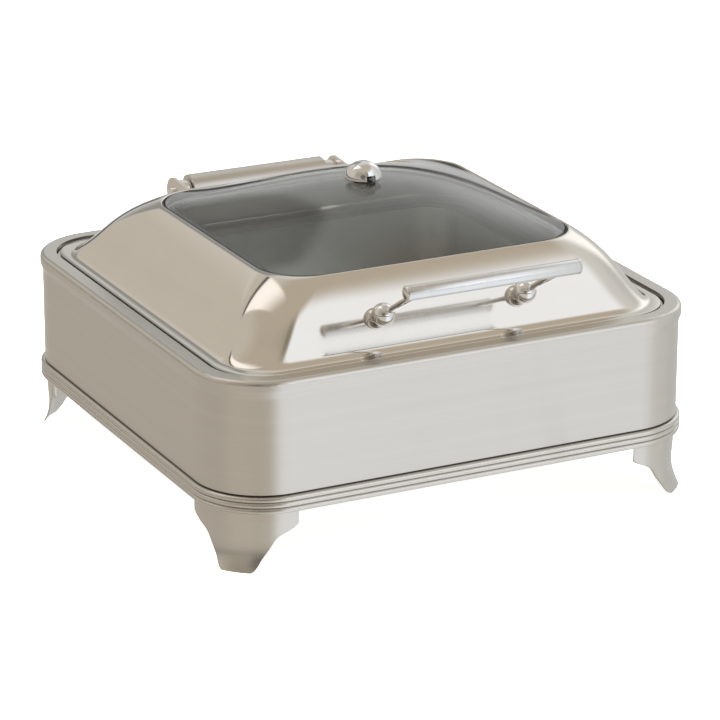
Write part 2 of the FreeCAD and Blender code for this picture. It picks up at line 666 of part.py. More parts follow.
def handle_cap(sx):
    """A domed plug in the end of the tube."""
    middle = handle_root(0) + POST_DIR * HANDLE_REACH
    start = middle + V(sx * BAR_HALF, 0, 0)
    way = V(sx, 0, 0)
    plug = cylinder(BAR_R - 1.2, start - way * 6, start)
    head = cylinder(BAR_R + 0.2, start, start + way * CAP_LENGTH)
    edges = [e for e in head.Edges if abs(e.CenterOfMass.x - start.x) > CAP_LENGTH - 0.1 and e.Length > 30]
    return plug.fuse(head.makeFillet(1.8, edges))


def handle_post(sx):
    """The rod from inside the lid, through the ball, into the tube."""
    root = handle_root(sx)
    return cylinder(POST_R, root - POST_DIR * 9, root + POST_DIR * (HANDLE_REACH - BAR_R + 1.2 + 2))


def handle_ball(sx):
    """The ball that spaces the post off the lid, with a flat where it meets the slope."""
    root = handle_root(sx)
    ball = Part.makeSphere(BALL_R, root + POST_DIR * (BALL_R - 1.5))
    ball = ball.cut(lid_solid())
    return ball.cut(cylinder(POST_R, root - POST_DIR * 9, root + POST_DIR * 40))


def handle_nuts():
    """A nut on each post, inside the lid."""
    nuts = []
    for sx in (-1, 1):
        root = handle_root(sx)
        nut = hexagon(9, root - POST_DIR * 7.5, POST_DIR, 5)
        nut = nut.cut(cylinder(POST_R, root - POST_DIR * 12, root + POST_DIR * 5))
        nuts.append(nut.common(lid_solid(LID_WALL)))
    return Part.makeCompound(nuts)


# ---- hinge -----------------------------------------------------------------------------
def hinge_screw_places():
    return [(x, HINGE_Y - 2.5) for x in (-44, -18, 18, 44)]


def hinge_base():
    """The fixed bracket: a stepped foot over the rim, an upstand, and two ears bored for the pin."""
    over_rim = RIM_TOP + 0.3
    upstand_front = HINGE_BACK - 2
    step = HINGE_FOOT_FRONT + 5.8
    foot_points = ((HINGE_FOOT_FRONT, FRAME_TOP), (step, FRAME_TOP), (step, over_rim), (HINGE_BACK, over_rim),
                   (HINGE_BACK, HINGE_Z - 6), (upstand_front, HINGE_Z - 6), (upstand_front, HINGE_FOOT_TOP),
                   (HINGE_FOOT_FRONT, HINGE_FOOT_TOP))
    base = side_plate(foot_points, -HINGE_HALF, HINGE_HALF)
    web_front = HINGE_Y - 3
    web_points = ((web_front, HINGE_FOOT_TOP - 1), (upstand_front, HINGE_FOOT_TOP - 1), (upstand_front, HINGE_Z),
                  (HINGE_Y - HINGE_EAR_R, HINGE_Z), (web_front, HINGE_Z - HUB_R))
    for sx in (-1, 1):
        x0, x1 = sorted((sx * (HINGE_HALF - HINGE_SHEET), sx * HINGE_HALF))
        ear = cylinder(HINGE_EAR_R, V(x0, HINGE_Y, HINGE_Z), V(x1, HINGE_Y, HINGE_Z))
        base = base.fuse(ear).fuse(side_plate(web_points, x0, x1))
    base = base.cut(cylinder(PIN_R + PIN_PLAY, V(-COVER_X, HINGE_Y, HINGE_Z), V(COVER_X, HINGE_Y, HINGE_Z)))
    for x, y in hinge_screw_places():
        base = base.cut(Part.makeCylinder(SCREW_HOLE, 20, V(x, y, FRAME_TOP - 5)))
    for bore in cover_screw_bores():
        base = base.cut(bore)
    return base.removeSplitter()


def cover_screw_bores():
    """Clear holes for the two screws through the cover's back and the upstand."""
    front = HINGE_BACK - 7
    back = HINGE_Y + COVER_R + 3
    return [cylinder(COVER_SCREW_R, V(x, front, COVER_SCREW_Z), V(x, back, COVER_SCREW_Z))
            for x in (-COVER_SCREW_X, COVER_SCREW_X)]


def cover_profile(radius, back, shrink):
    """The hinge cover's side outline: round over the pin, then down to the rim."""
    top = HINGE_Z
    front = HINGE_Y - radius
    low = RIM_TOP + 0.3
    corners = [V(0, back, low), V(0, back, top), V(0, front, top), V(0, 187 + shrink, 171),
               V(0, 187 + shrink, low)]
    edges = [Part.Arc(corners[1], V(0, HINGE_Y, top + radius), corners[2]).toShape()]
    for start, end in ((0, 1), (2, 3), (3, 4), (4, 0)):
        edges.append(Part.LineSegment(corners[start], corners[end]).toShape())
    return Part.Face(Part.Wire(Part.__sortEdges__(edges)))


def hinge_cover():
    """The folded cover over the damper: round top, closed ends with pin holes, open below."""
    outer = cover_profile(COVER_R, HINGE_Y + COVER_R, 0)
    outer.translate(V(-COVER_X, 0, 0))
    cover = outer.extrude(V(2 * COVER_X, 0, 0))
    wall = 1.5
    inner = cover_profile(COVER_R - wall, HINGE_Y + COVER_R - wall, wall)
    inner.translate(V(-COVER_X + wall, 0, 0))
    cover = cover.cut(inner.extrude(V(2 * (COVER_X - wall), 0, 0)))
    cover = cover.cut(box(-COVER_X + wall, COVER_X - wall, 185, HINGE_Y + COVER_R - wall, 150, 165))
    cover = cover.cut(cylinder(PIN_R + 0.6, V(-ARM_X, HINGE_Y, HINGE_Z), V(ARM_X, HINGE_Y, HINGE_Z)))
    for bore in cover_screw_bores():
        cover = cover.cut(bore)
    return cover


def hinge_base_screws():
    """Four screws down through the bracket's foot into the frame."""
    return Part.makeCompound([screw(V(x, y, HINGE_FOOT_TOP), UP, 10) for x, y in hinge_screw_places()])


def cover_screws():
    """Two screws through the back of the cover into the bracket's upstand."""
    return Part.makeCompound([screw(V(x, HINGE_Y + COVER_R, COVER_SCREW_Z), V(0, 1, 0), 4)
                              for x in (-COVER_SCREW_X, COVER_SCREW_X)])


def hinge_pin():
    reach = ARM_X + ARM_SHEET + 1.5
    return cylinder(PIN_R, V(-reach, HINGE_Y, HINGE_Z), V(reach, HINGE_Y, HINGE_Z))


def hinge_pin_caps():
    """A domed push-on cap on each end of the pin."""
    caps = []
    for sx in (-1, 1):
        start = V(sx * (ARM_X + ARM_SHEET), HINGE_Y, HINGE_Z)
        cap = cylinder(6, start, start + V(sx * 3.5, 0, 0))
        edges = [e for e in cap.Edges if abs(e.CenterOfMass.x) > ARM_X + ARM_SHEET + 3.4 and e.Length > 30]
        cap = cap.makeFillet(2.2, edges)
        caps.append(cap.cut(cylinder(PIN_R, start - V(sx * 1, 0, 0), start + V(sx * 1.5, 0, 0))))
    return Part.makeCompound(caps)


def hinge_barrel(sx):
    """The polished spacer barrel between the cover and a lid arm."""
    start = V(sx * (COVER_X + 0.4), HINGE_Y, HINGE_Z)
    end = V(sx * ARM_X, HINGE_Y, HINGE_Z)
    barrel = cylinder(BARREL_R, start, end)
    barrel = barrel.makeFillet(1.2, [e for e in barrel.Edges if e.Length > 60])
    return barrel.cut(cylinder(PIN_R, start - V(sx, 0, 0), end + V(sx, 0, 0)))


def pad_line():
    """The foot and head of an arm's pad on the lid's rear slope, and the slope's outward direction."""
    low = V(0, lid_rear_y(PAD_LOW), PAD_LOW)
    high = V(0, lid_rear_y(PAD_HIGH), PAD_HIGH)
    return low, high, V(0, high.z - low.z, low.y - high.y).normalize()


def arm_screw_places():
    """Where the arms are screwed to the lid: a point on each pad and the slope's outward direction."""
    low, high, normal = pad_line()
    places = []
    for sx in (-1, 1):
        for share in (0.25, 0.75):
            at = low + (high - low) * share + normal * PAD
            places.append((at + V(sx * (ARM_X + 13), 0, 0), normal))
    return places


def hinge_arm(sx):
    """A lid arm: a round hub on the pin, a web, and a pad that follows the lid's rear slope."""
    x0 = min(sx * ARM_X, sx * (ARM_X + ARM_SHEET))
    hub = cylinder(HUB_R, V(x0, HINGE_Y, HINGE_Z), V(x0 + ARM_SHEET, HINGE_Y, HINGE_Z))
    low, high, normal = pad_line()
    web = side_plate(((low.y, low.z), (HINGE_Y, HINGE_Z - HUB_R), (HINGE_Y, HINGE_Z + HUB_R), (high.y, high.z),
                      (high.y - 8, high.z - 6), (low.y - 8, low.z + 2)), x0, x0 + ARM_SHEET)
    corners = [low + normal * PAD, high + normal * PAD, high - normal * 3, low - normal * 3]
    pad = side_plate([(corner.y, corner.z) for corner in corners], *sorted((sx * ARM_X, sx * (ARM_X + PAD_WIDTH))))
    arm = hub.fuse(web).fuse(pad).cut(lid_solid(-0.02))
    arm = arm.cut(cylinder(PIN_R, V(x0 - 1, HINGE_Y, HINGE_Z), V(x0 + ARM_SHEET + 1, HINGE_Y, HINGE_Z)))
    for at, way in arm_screw_places():
        arm = arm.cut(cylinder(SCREW_HOLE, at + way, at - way * 8))
    arm = arm.removeSplitter()
    return max(arm.Solids, key=lambda solid: solid.Volume)


def arm_screws():
    """Two screws an arm, through the pad into the lid."""
    return Part.makeCompound([screw(at, normal, 6) for at, normal in arm_screw_places()])


def hinge_damper():
    """The oil-filled rotary damper round the pin, keyed to the bracket by a flat foot."""
    body = cylinder(BARREL_R, V(-24, HINGE_Y, HINGE_Z), V(20, HINGE_Y, HINGE_Z))
    body = body.fuse(box(-24, 20, HINGE_Y + 1.8, HINGE_Y + 8, HINGE_FOOT_TOP + 0.1, HINGE_Z))
    return body.cut(cylinder(PIN_R + PIN_PLAY, V(-30, HINGE_Y, HINGE_Z), V(30, HINGE_Y, HINGE_Z)))


def hinge_spring():
    """The torsion spring that helps to lift the lid, wound round the pin."""
    helix = Part.makeHelix(2.6, 20.8, 6.5)
    wire = Part.Wire(Part.makeCircle(0.95, V(6.5, 0, 0), V(0, 1, 0)))
    coil = Part.Wire(helix.Edges).makePipeShell([wire], True, True)
    coil.rotate(V(0, 0, 0), V(0, 1, 0), 90)
    coil.translate(V(24.5, HINGE_Y, HINGE_Z))
    return coil


# ---- export ----------------------------------------------------------------------------
def nodes():
    """Every named piece of the object."""
    pieces = {
        "body_shell": body_shell(),
        "base_band": base_band(),
        "foot_rivets": foot_rivets(),
        "carrier_ring": carrier_ring(),
        "carrier_rivets": carrier_rivets(),
        "carrier_brackets": carrier_brackets(),
        "carrier_screws": carrier_screws(),
        "top_frame": top_frame(),
        "water_pan": water_pan(),
        "food_pan": food_pan(),
        "fuel_holder": fuel_holder(),
        "snuffer": snuffer(),
        "snuffer_knob": snuffer_knob(),
        "snuffer_pivot": snuffer_pivot(),
        "lid_shell": lid_shell(),
        "window_glass": window_glass(),
        "window_seal": window_seal(),
        "window_retainer": window_retainer(),
        "retainer_clips": retainer_clips(),
        "lid_buffers": lid_buffers(),
        "vent_cap": vent_cap(),
        "vent_stem": vent_stem(),
        "vent_washers": vent_washers(),
        "vent_nut": vent_nut(),
        "handle_bar": handle_bar(),
        "handle_nuts": handle_nuts(),
        "hinge_base": hinge_base(),
        "hinge_cover": hinge_cover(),
        "hinge_base_screws": hinge_base_screws(),
        "cover_screws": cover_screws(),
        "hinge_pin": hinge_pin(),
        "hinge_pin_caps": hinge_pin_caps(),
        "arm_screws": arm_screws(),
        "hinge_damper": hinge_damper(),
        "hinge_spring": hinge_spring(),
    }
    for side, (turn, reach) in zip(("right", "rear", "left", "front"), quarter_turns()):
        pieces[f"carrier_arm_{side}"] = carrier_arm(turn, reach)
    for side, sx in (("left", -1), ("right", 1)):
        pieces[f"handle_cap_{side}"] = handle_cap(sx)
        pieces[f"handle_post_{side}"] = handle_post(sx)
        pieces[f"handle_ball_{side}"] = handle_ball(sx)
        pieces[f"hinge_arm_{side}"] = hinge_arm(sx)
        pieces[f"hinge_barrel_{side}"] = hinge_barrel(sx)
        for end, sy in (("front", -1), ("rear", 1)):
            pieces[f"foot_{end}_{side}"] = foot(sx, sy)
    return pieces


def main():
    os.makedirs(OUT, exist_ok=True)
    pieces = nodes()
    extents = [shape.optimalBoundingBox() for shape in (pieces["handle_cap_left"], pieces["base_band"])]
    setback = -(extents[0].YMin + extents[1].YMax) / 2
    print(f"setback {setback:.3f} mm, {len(pieces)} pieces")
    for name, shape in sorted(pieces.items()):
        shape.translate(V(0, setback, 0))
        size = shape.optimalBoundingBox()
        print(f"{name:20s} solids {len(shape.Solids)} valid {shape.isValid()} volume {shape.Volume / 1000:8.2f} "
              f"x {size.XMin:.1f}..{size.XMax:.1f} y {size.YMin:.1f}..{size.YMax:.1f} "
              f"z {size.ZMin:.1f}..{size.ZMax:.1f}")
        shape.exportStep(f"{OUT}/{name}.step")


main()
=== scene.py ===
# %% [markdown]
# # A square buffet chafer with a hinged window lid
# This lesson dresses a finished mechanical model. The frame holds every part at its true size and
# place, so nothing is moved here: parts whose shape is already right get a finish, and the pressed and
# bent sheets, which need smoother curves than a machined part, are drawn again as meshes and ride on
# the same bodies.

# %% Load the frame
import math
import bpy
from mathutils import Matrix, Vector


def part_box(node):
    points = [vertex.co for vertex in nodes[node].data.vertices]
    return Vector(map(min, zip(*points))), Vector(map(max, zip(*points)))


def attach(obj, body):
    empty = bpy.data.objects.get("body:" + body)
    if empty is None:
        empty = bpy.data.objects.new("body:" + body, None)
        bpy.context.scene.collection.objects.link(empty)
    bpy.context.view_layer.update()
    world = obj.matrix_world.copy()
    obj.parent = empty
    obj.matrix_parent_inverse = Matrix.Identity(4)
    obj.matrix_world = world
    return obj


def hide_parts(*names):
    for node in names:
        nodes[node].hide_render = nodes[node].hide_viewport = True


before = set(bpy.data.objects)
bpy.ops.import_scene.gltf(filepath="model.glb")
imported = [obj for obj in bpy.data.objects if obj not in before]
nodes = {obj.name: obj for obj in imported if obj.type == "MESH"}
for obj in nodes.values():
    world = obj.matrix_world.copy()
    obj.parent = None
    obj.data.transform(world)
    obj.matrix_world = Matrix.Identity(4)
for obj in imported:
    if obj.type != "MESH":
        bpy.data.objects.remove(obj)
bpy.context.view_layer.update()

# %% [markdown]
# ## Where things are
# Sizes are read from the frame and kept as plain named values in metres. A few sheet sizes that a box
# can't tell, such as how far the lid's wall stands in from its flange, are given here in millimetres.

# %% Measure the frame
MM = 0.001


def middle(node):
    low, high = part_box(node)
    return (Vector(low) + Vector(high)) / 2


def size(node):
    low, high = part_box(node)
    return Vector(high) - Vector(low)


body_mid = middle("body_shell")
lid_low, lid_high = (Vector(corner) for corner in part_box("lid_shell"))
SHEET = 1.2 * MM
LID_RADIUS = 40 * MM
FLANGE_RADIUS = 43.8 * MM
WINDOW_RADIUS = 41 * MM
DOME_IN = 13.8 * MM         # from the flange's edge to the dome's foot, at the sides
SKIRT = 6.8 * MM            # level run of the slope between the flange and the dome's foot
lid_half_x = (lid_high.x - lid_low.x) / 2 - DOME_IN
lid_front = lid_low.y + 12.8 * MM
lid_rear = lid_high.y - 14.8 * MM
lid_base = lid_low.z + 4.7 * MM
pane_low, pane_high = (Vector(corner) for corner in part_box("window_glass"))
PANE_EDGE = 4 * MM
PANE_GAP = 2.4 * MM
window_half_x = (pane_high.x - pane_low.x) / 2 + PANE_GAP
window_front = pane_low.y - PANE_GAP
window_rear = pane_high.y + PANE_GAP
pane_mid = (pane_low + pane_high) / 2
print("lid half width", round(lid_half_x, 4), "window half width", round(window_half_x, 4))

# %% [markdown]
# ## Sums on sockets
# A finish is mostly arithmetic on positions and noise. Wrapping a socket in a small class lets that
# arithmetic be written as Python sums: each operator adds one Math node, and numbers stay numbers.

# %% Sockets as values
class Value:
    """A node's output that takes part in sums."""

    def __init__(self, finish, socket):
        self.finish = finish
        self.socket = socket

    def math(self, operation, first, second):
        """One Math node on two values or numbers."""
        return self.finish.node("ShaderNodeMath", {"operation": operation}, {0: first, 1: second})

    def __add__(self, other):
        return self.math("ADD", self, other)

    def __radd__(self, other):
        return self.math("ADD", other, self)

    def __sub__(self, other):
        return self.math("SUBTRACT", self, other)

    def __rsub__(self, other):
        return self.math("SUBTRACT", other, self)

    def __mul__(self, other):
        return self.math("MULTIPLY", self, other)

    def __rmul__(self, other):
        return self.math("MULTIPLY", other, self)

    def __pow__(self, other):
        return self.math("POWER", self, other)


class Finish:
    """The nodes of one material or of the world's light."""

    def __init__(self, name, tree=None):
        if tree is None:
            self.material = bpy.data.materials.new(name)
            self.material.use_nodes = True
            tree = self.material.node_tree
        self.tree = tree
        self.tree.nodes.clear()

    def node(self, kind, settings=None, inputs=None, out=0):
        """Adds a node: its settings first, then the values or links of its sockets."""
        made = self.tree.nodes.new(kind)
        for key, value in (settings or {}).items():
            if key == "stops":
                self.set_stops(made.color_ramp, value)
            else:
                setattr(made, key, value)
        for key, value in (inputs or {}).items():
            self.feed(made.inputs[key], value)
        return Value(self, made.outputs[out]) if made.outputs else made

    def set_stops(self, ramp, stops):
        while len(ramp.elements) < len(stops):
            ramp.elements.new(0.5)
        for element, (place, colour) in zip(ramp.elements, stops):
            element.position = place
            element.color = (*colour, 1)

    def feed(self, socket, value):
        """Links a value to a socket, or sets the socket to a number or colour."""
        if isinstance(value, Value):
            self.tree.links.new(value.socket, socket)
        elif isinstance(value, tuple) and len(value) == 3 and socket.type == "RGBA":
            socket.default_value = (*value, 1)
        else:
            socket.default_value = value

    def place(self, stretch=(1, 1, 1)):
        """Positions on the object in metres, stretched per axis."""
        where = self.node("ShaderNodeTexCoord", out=3)
        return self.node("ShaderNodeMapping", {"vector_type": "POINT"}, {"Vector": where, "Scale": stretch})

    def noise(self, scale, detail=3.0, rough=0.5, stretch=(1, 1, 1)):
        """Noise from 0 to 1, with a spot size of about one over the scale."""
        inputs = {"Vector": self.place(stretch), "Scale": scale, "Detail": detail, "Roughness": rough}
        return self.node("ShaderNodeTexNoise", {}, inputs)

    def ease(self, value, low, high, to_low=0.0, to_high=1.0):
        """A smooth step from one value to another."""
        settings = {"interpolation_type": "SMOOTHSTEP"}
        inputs = {0: value, 1: low, 2: high, 3: to_low, 4: to_high}
        return self.node("ShaderNodeMapRange", settings, inputs)

    def parts(self, vector):
        """A vector's three numbers."""
        first = self.node("ShaderNodeSeparateXYZ", {}, {0: vector})
        return tuple(Value(self, socket) for socket in first.socket.node.outputs)

    def blend(self, factor, first, second):
        """Mixes two colours."""
        return self.node("ShaderNodeMix", {"data_type": "RGBA"}, {0: factor, 6: first, 7: second}, out=2)

    def painted_crease_shade(self, colour, low, high, soft=0.0002):
        """Darkens a colour between two heights: painted shade in the joint where two parts meet."""
        z = self.parts(self.place())[2]
        share = self.ease(z, low - soft, low + soft) * self.ease(z, high - soft, high + soft, 1.0, 0.0)
        # The near-black colour is painted shade in the crease.
        return self.blend(share, colour, (0.035, 0.032, 0.03))

    def bump(self, height, distance, strength=1.0):
        """A surface direction tilted by a height map, its full height given in metres."""
        inputs = {"Height": height, "Distance": distance, "Strength": strength}
        return self.node("ShaderNodeBump", {}, inputs)

    def surface(self, **inputs):
        """Finishes with a Principled shader. Underscores in a name stand for spaces."""
        named = {key.replace("_", " "): value for key, value in inputs.items()}
        shader = self.node("ShaderNodeBsdfPrincipled", {}, named)
        self.node("ShaderNodeOutputMaterial", {}, {"Surface": shader})
        return self.material


print("socket sums are ready")

# %% [markdown]
# ## Satin steel
# The body is stainless steel with a satin finish: a belt has been run round it level, so fine level
# scratches spread reflections up and down. The scratches could be cut as a real mesh, but they are far
# finer than any vertex, so they are stretched noise that feeds the roughness and a very shallow bump.
# Where two sheets meet, the shade in the joint is painted as a thin dark line between two heights.

# %% Satin steel for the body
def satin_steel(name, tint, rough, grain_axis="z", line=None):
    steel = Finish(name)
    across = {"z": (3, 3, 900), "x": (900, 3, 3), "y": (3, 900, 3)}[grain_axis]
    grain = steel.noise(1.0, 4, 0.65, across)
    cloud = steel.noise(9.0, 3, 0.55)
    streak = steel.noise(1.0, 4, 0.6, tuple(0.16 * s if s > 100 else 1.4 for s in across))
    smear = steel.noise(28.0, 4, 0.6, (1, 1, 0.25))
    dull = tuple(0.86 * c for c in tint)
    bright = tuple(1.06 * c for c in tint)
    colour = steel.blend(grain * 0.3 + streak * 0.5 + cloud * 0.2, dull, bright)
    # Painted shade: a thin dark line between two heights, where parts meet.
    if line:
        colour = steel.painted_crease_shade(colour, *line)
    roughness = rough - 0.06 + grain * 0.06 + streak * 0.05 + steel.ease(smear, 0.55, 0.75, 0, 0.06)
    return steel.surface(Base_Color=colour, Metallic=1.0, Roughness=roughness, Anisotropic=0.55,
                         Anisotropic_Rotation=0.25, Normal=steel.bump(grain, 0.00002, 0.5))


BODY_TINT = (0.72, 0.695, 0.66)
body_steel = satin_steel("satin_body_steel", BODY_TINT, 0.30)
base_steel = satin_steel("satin_foot_steel", BODY_TINT, 0.26)
band_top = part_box("base_band")[1][2]
# Painted shade on the wall just above the base band, where the band meets it.
wall_steel = satin_steel("satin_wall_steel", BODY_TINT, 0.30, line=(band_top, band_top + 1.1 * MM))
frame_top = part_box("top_frame")[1][2]
# Painted shade along the frame's top edge, in the gap round the lid.
frame_gap_shade = (frame_top - 5 * MM, frame_top - 0.25 * MM)
frame_steel = satin_steel("satin_frame_steel", BODY_TINT, 0.30, line=frame_gap_shade)
print("satin steel:", body_steel.name, base_steel.name, wall_steel.name, frame_steel.name)

# %% [markdown]
# ## Mirror steel
# The lid is buffed to a mirror that is never quite flat. A perfect mirror would look like plastic, so
# a wide, shallow wave bends the reflections a little, and haze and wiping streaks dull it in places.
# Polished hinge arms and chrome plate are the same finish with less wave.

# %% Mirror steel for the lid
def mirror_steel(name, tint, rough, wave=0.00035, line=None):
    steel = Finish(name)
    wide = steel.noise(7.0, 2, 0.4)
    haze = steel.noise(22.0, 4, 0.6)
    swirl = steel.noise(260.0, 3, 0.6, (1, 1, 0.3))
    streak = steel.noise(1.0, 4, 0.6, (5, 5, 90))
    print_marks = steel.ease(haze, 0.60, 0.74, 0, 0.06)
    roughness = rough + print_marks + swirl * 0.02
    dark, pale = (tuple(share * c for c in tint) for share in (0.93, 1.04))
    colour = steel.blend(haze * 0.5 + streak * 0.5, dark, pale)
    # Painted shade: a thin dark line between two heights, where one is asked for.
    if line:
        colour = steel.painted_crease_shade(colour, *line)
    return steel.surface(Base_Color=colour, Metallic=1.0, Roughness=roughness,
                         Normal=steel.bump(wide, wave, 0.6))


LID_TINT = (0.80, 0.765, 0.72)
# Painted shade along the flange's edge, for the dark gap between the lid and the rim.
lid_gap_shade = (lid_low.z + 0.2 * MM, lid_low.z + 0.95 * MM)
lid_steel = mirror_steel("mirror_lid_steel", LID_TINT, 0.07, line=lid_gap_shade)
arm_steel = mirror_steel("mirror_arm_steel", LID_TINT, 0.09)
chrome = mirror_steel("bright_chrome_plate", (0.86, 0.86, 0.87), 0.03, 0.00001)
print("mirror steel:", lid_steel.name, chrome.name)

# %% [markdown]
# ## Pan steel and plated fasteners
# Pans are dull from drawing and washing, with soft water marks. Screws and nuts are plated and a little
# cloudy. Both need less work than the body, because they are seen through glass or from underneath.

# %% Pan steel and small metal
def pan_finish():
    steel = Finish("drawn_pan_steel")
    draw = steel.noise(1.0, 4, 0.6, (60, 60, 500))
    water = steel.noise(14.0, 4, 0.65)
    marks = steel.ease(water, 0.5, 0.62)
    colour = steel.blend(marks, (0.56, 0.56, 0.55), (0.60, 0.60, 0.59))
    roughness = 0.30 + draw * 0.08 + marks * 0.03
    return steel.surface(Base_Color=colour, Metallic=0.94, Roughness=roughness,
                         Normal=steel.bump(draw, 0.00003, 0.5))


def plated_finish():
    steel = Finish("zinc_plated_fastener")
    cloud = steel.noise(400.0, 3, 0.6)
    colour = steel.blend(cloud, (0.55, 0.55, 0.54), (0.66, 0.66, 0.66))
    return steel.surface(Base_Color=colour, Metallic=1.0, Roughness=0.22 + cloud * 0.15)


pan_steel = pan_finish()
fastener_steel = plated_finish()
bar_steel = satin_steel("satin_bar_steel", (0.83, 0.84, 0.86), 0.26, "x")
print("small metal:", pan_steel.name, fastener_steel.name, bar_steel.name)

# %% [markdown]
# ## Glass
# The pane is clear glass. A glass shader that bends light would be slower and noisier, and a thin pane
# bends it so little that it can be drawn as a film: mostly clear, with a mirror share that grows
# towards grazing angles. The share is worked out from how far the face is turned away, because it then
# comes out alike on the way in and on the way out.

# %% Glass
def pane_glass():
    glass = Finish("clear_pane_glass")
    clear = glass.node("ShaderNodeBsdfTransparent", {}, {"Color": (0.96, 0.97, 0.965)})
    smudge = glass.ease(glass.noise(16.0, 4, 0.6), 0.55, 0.8, 0.0, 0.05)
    shine = glass.node("ShaderNodeBsdfGlossy", {}, {"Color": (1, 1, 1), "Roughness": 0.03 + smudge})
    facing = glass.node("ShaderNodeLayerWeight", {}, {"Blend": 0.5}, out=1)
    share = 0.06 + facing ** 4.2 * 0.94
    both = glass.node("ShaderNodeMixShader", {}, {0: share, 1: clear, 2: shine})
    glass.node("ShaderNodeOutputMaterial", {}, {"Surface": both})
    return glass.material


glass_finish = pane_glass()
print("glass:", glass_finish.name)

# %% [markdown]
# ## Rubber, plastic and paint
# Seals and buffers are dark, dusty rubber, the snuffer's knob is moulded phenolic and the damper is
# painted. They differ only in colour, gloss and grain, so one function makes all three.

# %% Rubber, phenolic and paint
def plain_finish(name, colour, rough, grain, depth, metallic=0.0, coat=0.0):
    stuff = Finish(name)
    cloud = stuff.noise(grain, 4, 0.6)
    tone = stuff.blend(cloud, tuple(0.8 * c for c in colour), tuple(min(1, 1.2 * c) for c in colour))
    return stuff.surface(Base_Color=tone, Metallic=metallic, Roughness=rough - 0.06 + cloud * 0.12,
                         Coat_Weight=coat, Normal=stuff.bump(cloud, depth, 0.6))


rubber = plain_finish("black_silicone", (0.022, 0.022, 0.023), 0.55, 900.0, 0.00002)
phenolic = plain_finish("black_phenolic", (0.016, 0.015, 0.015), 0.32, 500.0, 0.00002, coat=0.3)
damper_paint = plain_finish("grey_damper_paint", (0.22, 0.23, 0.24), 0.4, 700.0, 0.00003)
print("soft and moulded:", rubber.name, phenolic.name, damper_paint.name)

# %% [markdown]
# ## Finishes for the parts that keep their shape
# Most parts come from the frame with the right shape already. Each needs its finish, and seven of
# them a fine bevel, because a sheet edge always catches a thin line of light.

# %% Assign finishes
def bevel(piece, width, angle=35):
    """Rounds a part's sharp edges."""
    modifier = piece.modifiers.new("edge", "BEVEL")
    modifier.width = width
    modifier.segments = 2
    modifier.limit_method = "ANGLE"
    modifier.angle_limit = math.radians(angle)


def dress(finish, *names):
    """Gives parts their finish."""
    for name in names:
        part = nodes[name]
        part.data.materials.clear()
        part.data.materials.append(finish)


feet = [f"foot_{end}_{side}" for end in ("front", "rear") for side in ("left", "right")]
sides = ("left", "right")
straps = [f"carrier_arm_{end}" for end in ("front", "rear", "left", "right")]
dress(wall_steel, "body_shell")
dress(frame_steel, "top_frame")
dress(body_steel, "hinge_cover", "carrier_ring", "carrier_brackets", "hinge_base", "window_retainer",
      "retainer_clips", *straps)
dress(base_steel, "base_band", "foot_rivets", "carrier_rivets", *feet)
dress(lid_steel, "lid_shell")
dress(arm_steel, *(f"hinge_arm_{side}" for side in sides))
dress(pan_steel, "water_pan", "food_pan", "fuel_holder", "snuffer")
dress(chrome, "vent_cap", "hinge_pin", "hinge_pin_caps",
      *(f"{part}_{side}" for part in ("handle_ball", "handle_post", "handle_cap", "hinge_barrel")
        for side in sides))
dress(bar_steel, "handle_bar")
dress(glass_finish, "window_glass")
dress(rubber, "window_seal", "lid_buffers", "vent_washers")
dress(fastener_steel, "carrier_screws", "snuffer_pivot", "vent_stem", "vent_nut", "handle_nuts",
      "hinge_base_screws", "cover_screws", "arm_screws", "hinge_spring")
dress(phenolic, "snuffer_knob")
dress(damper_paint, "hinge_damper")
for name in ("top_frame", "hinge_cover", "hinge_base", "hinge_arm_left", "hinge_arm_right",
             "water_pan", "food_pan"):
    bevel(nodes[name], 0.35 * MM)
print("dressed", len(nodes), "parts")

# %% [markdown]
# ## Meshes from rings
# A pressed lid is a stack of level outlines, each a rounded rectangle that draws in as it climbs. A
# ring of points per outline, joined to the next ring by quads, gives an even, closed sheet.

# %% Rings and lofts
CORNER_STEPS = 20
SIDE_STEPS = 14


def rounded_ring(half_x, front, rear, radius, z):
    """Points round a level rounded rectangle from front to rear in Y, starting on the right."""
    points = []
    centres = ((half_x - radius, rear - radius, 0), (radius - half_x, rear - radius, 1),
               (radius - half_x, front + radius, 2), (half_x - radius, front + radius, 3))
    for x, y, quarter in centres:
        for step in range(CORNER_STEPS + 1):
            angle = (quarter + step / CORNER_STEPS) * math.pi / 2
            points.append(Vector((x + radius * math.cos(angle), y + radius * math.sin(angle), z)))
        start = points[-1]
        next_x, next_y, next_quarter = centres[(quarter + 1) % 4]
        heading = (quarter + 1) * math.pi / 2
        end = Vector((next_x + radius * math.cos(heading), next_y + radius * math.sin(heading), z))
        for step in range(1, SIDE_STEPS):
            points.append(start.lerp(end, step / SIDE_STEPS))
    return points


def mesh_piece(name, points, faces, finish, body, sharp=40):
    """A smooth-shaded mesh with a finish, riding a body."""
    mesh = bpy.data.meshes.new(name)
    mesh.from_pydata([tuple(p) for p in points], [], faces)
    mesh.validate()
    mesh.polygons.foreach_set("use_smooth", [True] * len(mesh.polygons))
    mesh.set_sharp_from_angle(angle=math.radians(sharp))
    piece = bpy.data.objects.new(name, mesh)
    bpy.context.scene.collection.objects.link(piece)
    mesh.materials.append(finish)
    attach(piece, body)
    return piece


def loft(name, rings, finish, body):
    """Joins rings of equal count, and the last ring to the first."""
    count = len(rings[0])
    points = [p for ring in rings for p in ring]
    faces = []
    for row in range(len(rings)):
        low = row * count
        high = ((row + 1) % len(rings)) * count
        for i in range(count):
            j = (i + 1) % count
            faces.append((low + i, low + j, high + j, high + i))
    print(name, len(points), "points", len(faces), "faces")
    return mesh_piece(name, points, faces, finish, body)


